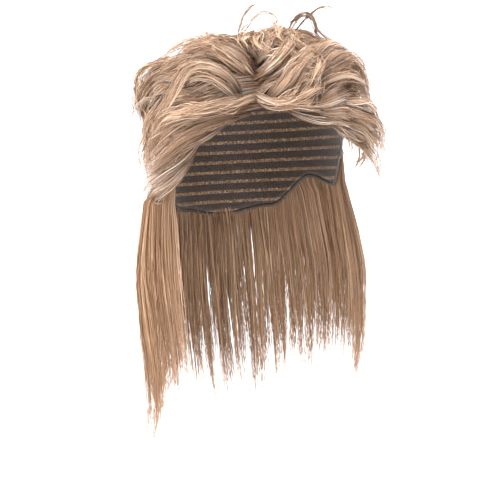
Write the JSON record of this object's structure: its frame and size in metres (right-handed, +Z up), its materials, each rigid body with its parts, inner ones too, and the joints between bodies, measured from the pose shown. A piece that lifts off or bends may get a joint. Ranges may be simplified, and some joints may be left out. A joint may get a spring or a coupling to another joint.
{
  "type": "mullet wig",
  "caption": "Mullet wig with a net cap, short waved hair swept off the face and long straight hair hanging from the back and sides.",
  "frame": {"origin": "inside of the crown, the highest point of the cap's inner wall, where it sits on the head", "axes": "+Z up out of the crown, -Y towards the face, +X towards the wearer's left"},
  "size_m": [0.2225, 0.2243, 0.3617],
  "materials": {
    "net": "dark open stretch net",
    "elastic": "dark woven elastic",
    "waved_hair": "sandy blond synthetic fibre, satin, with darker roots",
    "long_hair": "light brown synthetic fibre, satin"
  },
  "bodies": {
    "root": {"wig_cap": "net", "cap_binding": "elastic", "crown_hair": "waved_hair", "right_swept_hair": "waved_hair", "left_swept_hair": "waved_hair", "back_waved_hair": "waved_hair", "right_long_hair": "long_hair", "back_long_hair": "long_hair", "left_long_hair": "long_hair"}
  },
  "joints": []
}
